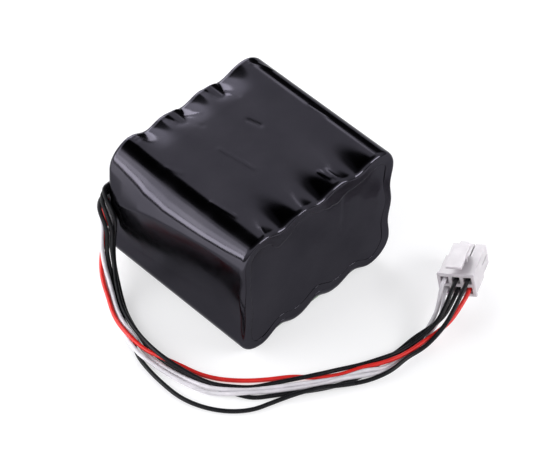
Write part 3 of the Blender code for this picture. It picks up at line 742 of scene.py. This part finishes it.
def mesh_object(name, vertices, faces, mat, smooth=True):
    mesh = bpy.data.meshes.new(name)
    mesh.from_pydata([tuple(v) for v in vertices], [], faces)
    mesh.materials.append(mat)
    if smooth:
        mesh.shade_smooth()
    made = bpy.data.objects.new(name, mesh)
    bpy.context.scene.collection.objects.link(made)
    return made


def ring_mesh(name, rows, mat):
    """A surface through rings of points, each ring as long as the section's."""
    count = len(rows[0])
    faces = []
    for row in range(len(rows) - 1):
        for step in range(count):
            following = (step + 1) % count
            faces.append((
                row * count + step, row * count + following,
                (row + 1) * count + following, (row + 1) * count + step,
            ))
    return mesh_object(name, np.concatenate(rows) * MM, faces, mat)


def thicken(piece, thickness):
    wall = piece.modifiers.new("wall", "SOLIDIFY")
    wall.thickness = thickness * MM
    wall.offset = -1


# Rings of points along the sleeve, and how far in its far rim turns over
LIP_ROWS = 12
RIM_ROWS = 12
NEAR_ROWS = 22
MIDDLE_ROWS = 50
FAR_ROWS = 26
FAR_RIM_ROWS = 10
NEAR_LENGTH = 13.0
FAR_LENGTH = 14.0
FAR_RIM_HEIGHT = 1.7
FAR_LIP = (0.6, 1.2, 1.8)


def make_sleeve():
    rows = []
    rim = rim_height()
    near_inset = side_inset(NEAR_FACE + RIM_DEPTH) + rim
    lip = lip_width()
    around = np.arange(len(BASE)) / len(BASE)
    settled = 0.26 - 0.20 * FLAT_TOP
    for share in np.linspace(1, 0, LIP_ROWS)[:-1]:
        lift = 0.05 * np.sin(around * 60.0) * share ** 2
        rows.append(placed(near_inset + lip * share, NEAR_FACE + (settled + lift) * share))
    for step in range(RIM_ROWS):
        turn = math.radians(90 * step / RIM_ROWS)
        y = NEAR_FACE + RIM_DEPTH * (1 - math.cos(turn))
        rows.append(placed(side_inset(y) + rim * (1 - math.sin(turn)), y))
    start, end = NEAR_FACE + RIM_DEPTH, FAR_RIM - RIM_DEPTH
    near_steps = start + np.linspace(0, 1, NEAR_ROWS) ** 1.4 * NEAR_LENGTH
    middle = np.linspace(near_steps[-1], end - FAR_LENGTH, MIDDLE_ROWS)[1:]
    far_steps = end - np.linspace(1, 0, FAR_ROWS)[1:] ** 1.2 * FAR_LENGTH
    for y in np.concatenate([near_steps, middle, far_steps]):
        rows.append(placed(side_inset(y), y))
    for step in range(1, FAR_RIM_ROWS + 1):
        turn = math.radians(90 * step / FAR_RIM_ROWS)
        y = end + RIM_DEPTH * math.sin(turn)
        rows.append(placed(side_inset(y) + FAR_RIM_HEIGHT * (1 - math.cos(turn)), y))
    for inset in FAR_LIP:
        rows.append(placed(side_inset(FAR_RIM) + FAR_RIM_HEIGHT + inset, FAR_RIM))
    film = ring_mesh("film_sleeve", rows, FILM)
    thicken(film, FILM_THICKNESS)
    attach(film, "pack")
    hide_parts("shrink_sleeve")


def film_over_end(name, edge, shares, depth_at, replaced, thickness, mouth=None):
    """A film across one end, drawn as rings from a middle line out to `edge`."""
    reach = HALF_WIDTH - HALF_HEIGHT
    spine = np.stack([
        np.clip(edge[:, 0], -reach, reach),
        edge[:, 1],
        np.full(len(edge), MID_HEIGHT),
    ], axis=1)
    rows = []
    for share in shares:
        place = spine + (edge - spine) * share
        place[:, 1] = depth_at(place[:, 0], place[:, 2])
        rows.append(place)
    cover = ring_mesh(name, rows, FILM)
    shell = bmesh.new()
    shell.from_mesh(cover.data)
    bmesh.ops.remove_doubles(shell, verts=shell.verts, dist=0.005 * MM)
    if mouth:
        opened = [face for face in shell.faces if mouth(face.calc_center_median() / MM)]
        bmesh.ops.delete(shell, geom=opened, context="FACES")
    bmesh.ops.recalc_face_normals(shell, faces=shell.faces)
    outwards = sum(face.normal.y for face in shell.faces)
    if outwards * edge[0, 1] < 0:
        bmesh.ops.reverse_faces(shell, faces=shell.faces)
    shell.to_mesh(cover.data)
    shell.free()
    thicken(cover, thickness)
    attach(cover, "pack")
    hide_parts(replaced)


def make_near_cover():
    edge = placed(side_inset(NEAR_FACE + RIM_DEPTH) + rim_height() * 0.8, COVER_FACE)
    shares = np.concatenate([np.linspace(0.0, 0.94, 46), [0.96, 0.98, 1.0]])
    film_over_end(
        "near_cover_film", edge, shares, lambda x, z: COVER_FACE + cover_depth(x, z),
        "near_end_cover", NEAR_COVER_THICKNESS,
    )


# The bulge over the protection board: its other three sides, its slopes' widths and its height
BULGE_RIGHT = 26.0
BULGE_LOW = 15.5
BULGE_HIGH = 47.5
LEFT_SLOPE = 1.8
RIGHT_SLOPE = 6.0
LOW_SLOPE = 6.0
HIGH_SLOPE = 7.0
BULGE_RISE = 3.0

# The slit in the bulge's left wall
SLIT_LOW = 26.1
SLIT_HIGH = 37.6
SLIT_REACH = 2.2
SLIT_LIFT = 0.35


def bulge_height(x, z):
    """The film over the far end, raised where it passes over the protection board."""
    rise = smooth_step(x, BULGE_LEFT, BULGE_LEFT + LEFT_SLOPE)
    rise = rise * smooth_step(-x, -BULGE_RIGHT, RIGHT_SLOPE - BULGE_RIGHT)
    rise = rise * smooth_step(z, BULGE_LOW, BULGE_LOW + LOW_SLOPE)
    rise = rise * smooth_step(-z, -BULGE_HIGH, HIGH_SLOPE - BULGE_HIGH)
    edge = 4 * rise * (1 - rise)
    ripple = 0.10 * np.sin(x * 0.55 + 0.3 * z) + 0.08 * np.sin(z * 0.8 - x * 0.35 + 1.0)
    return FAR_COVER_FACE + BULGE_RISE * rise + ripple * edge


def at_slit(place):
    """Where the leads pass through the bulge's left wall."""
    on_wall = place.x < BULGE_LEFT + SLIT_REACH and place.y > FAR_COVER_FACE + SLIT_LIFT
    return on_wall and SLIT_LOW < place.z < SLIT_HIGH


def make_far_cover():
    edge = placed(side_inset(FAR_RIM) + FAR_COVER_INSET, FAR_COVER_FACE)
    film_over_end(
        "far_cover_film", edge, np.linspace(0.0, 1.0, 90), bulge_height, "far_end_cover",
        FAR_COVER_THICKNESS, at_slit,
    )


make_sleeve()
make_near_cover()
make_far_cover()


# ---------------------------------------------------------------- floor and light

# The floor is brighter to the left of the pack: usual and raised glow, and where X passes between them
FLOOR_GLOW = (0.5, 1.7)
FLOOR_GLOW_EDGE = (-0.070, -0.105)

floor_size = 3.0
floor = mesh_object(
    "floor",
    [(-floor_size, -floor_size, 0), (floor_size, -floor_size, 0), (floor_size, floor_size, 0),
     (-floor_size, floor_size, 0)],
    [(0, 1, 2, 3)],
    None,
    False,
)
floor_mat, floor_tree, floor_shader = node_material("pale_floor")
floor_tint = ramp(floor_tree, noise(floor_tree, 3), (0.55, 0.55, 0.555), (0.56, 0.56, 0.565))
floor_tree.links.new(floor_tint, floor_shader.inputs["Base Color"])
floor_shader.inputs["Roughness"].default_value = 0.95
floor_shader.inputs["Specular IOR Level"].default_value = 0.0
floor_shader.inputs["Emission Color"].default_value = (1, 1, 1, 1)
where = add_node(floor_tree, "ShaderNodeTexCoord")
axes = add_node(floor_tree, "ShaderNodeSeparateXYZ")
floor_tree.links.new(where.outputs["Object"], axes.inputs["Vector"])
glow = remap(floor_tree, axes.outputs["X"], *FLOOR_GLOW, FLOOR_GLOW_EDGE, smooth=True)
floor_tree.links.new(glow, floor_shader.inputs["Emission Strength"])
floor.data.materials.clear()
floor.data.materials.append(floor_mat)

# The sky's brightness by the Z of the direction, and its dark patches: direction, cosines of the edge
SKY = [(0.12, 0.40), (0.22, 0.60), (0.60, 1.10), (0.76, 1.05), (0.84, 0.14)]
DARK_PATCHES = [
    ((-0.05, 0.473, 0.879), 0.925, 0.900),
    ((0.85, 0.473, 0.23), 0.97, 0.93),
]

world = bpy.data.worlds.new("studio")
bpy.context.scene.world = world
world.use_nodes = True
sky_tree = world.node_tree
background = sky_tree.nodes["Background"]
place = add_node(sky_tree, "ShaderNodeTexCoord")
split = add_node(sky_tree, "ShaderNodeSeparateXYZ")
sky_tree.links.new(place.outputs["Generated"], split.inputs["Vector"])
sky = add_node(sky_tree, "ShaderNodeValToRGB")
sky.color_ramp.elements[0].position = 0.0
sky.color_ramp.elements[0].color = (0.30, 0.30, 0.31, 1)
sky.color_ramp.elements[1].position = 1.0
sky.color_ramp.elements[1].color = (0.03, 0.03, 0.035, 1)
for position, value in SKY:
    element = sky.color_ramp.elements.new(position)
    element.color = (value, value, value * 1.04, 1)
sky_tree.links.new(split.outputs["Z"], sky.inputs["Fac"])
sky_tree.links.new(sky.outputs["Color"], background.inputs["Color"])


def dark_patch(direction, inner, outer):
    """1 outside a round patch of the sky, nearly 0 inside it; its edge runs between two cosines."""
    toward = add_node(sky_tree, "ShaderNodeVectorMath", operation="DOT_PRODUCT")
    toward.inputs[1].default_value = direction
    sky_tree.links.new(place.outputs["Generated"], toward.inputs[0])
    return remap(sky_tree, toward.outputs["Value"], 1.0, 0.06, (outer, inner), smooth=True)


# Brighter towards +Y, and dark in two patches that show as bands along the rounded long edges
strength = remap(sky_tree, split.outputs["Y"], 1.0, 3.0, (0.47, 0.78), smooth=True)
for direction, inner, outer in DARK_PATCHES:
    product = add_node(sky_tree, "ShaderNodeMath", operation="MULTIPLY")
    sky_tree.links.new(strength, product.inputs[0])
    sky_tree.links.new(dark_patch(direction, inner, outer), product.inputs[1])
    strength = product.outputs["Value"]
sky_tree.links.new(strength, background.inputs["Strength"])


def softbox(name, direction, distance, size, power):
    light = bpy.data.lights.new(name, "AREA")
    light.shape = "RECTANGLE"
    light.size, light.size_y = size
    light.energy = power
    made = bpy.data.objects.new(name, light)
    bpy.context.scene.collection.objects.link(made)
    aim = Vector(direction).normalized()
    made.location = aim * distance + Vector((0, 0, 0.03))
    made.rotation_euler = aim.to_track_quat("Z", "Y").to_euler()


# Name, direction from the pack, distance in metres, size in metres, power in watts
SOFTBOXES = [
    ("left_low", (-0.853, 0.473, 0.235), 0.9, (0.8, 0.18), 3.4),
    ("left_mid", (-0.764, 0.473, 0.438), 0.9, (0.8, 0.16), 1.6),
    ("left_high", (-0.642, 0.473, 0.602), 0.9, (0.8, 0.19), 0.9),
    ("edge_box", (0.66, 0.473, 0.583), 0.9, (0.09, 0.20), 0.12),
    ("right_box", (0.48, -0.74, 0.47), 0.9, (0.5, 0.25), 3.5),
    ("back_box", (0.47, 0.83, 0.24), 1.1, (0.7, 0.40), 6),
]
for settings in SOFTBOXES:
    softbox(*settings)

bpy.context.scene.view_settings.view_transform = "Standard"
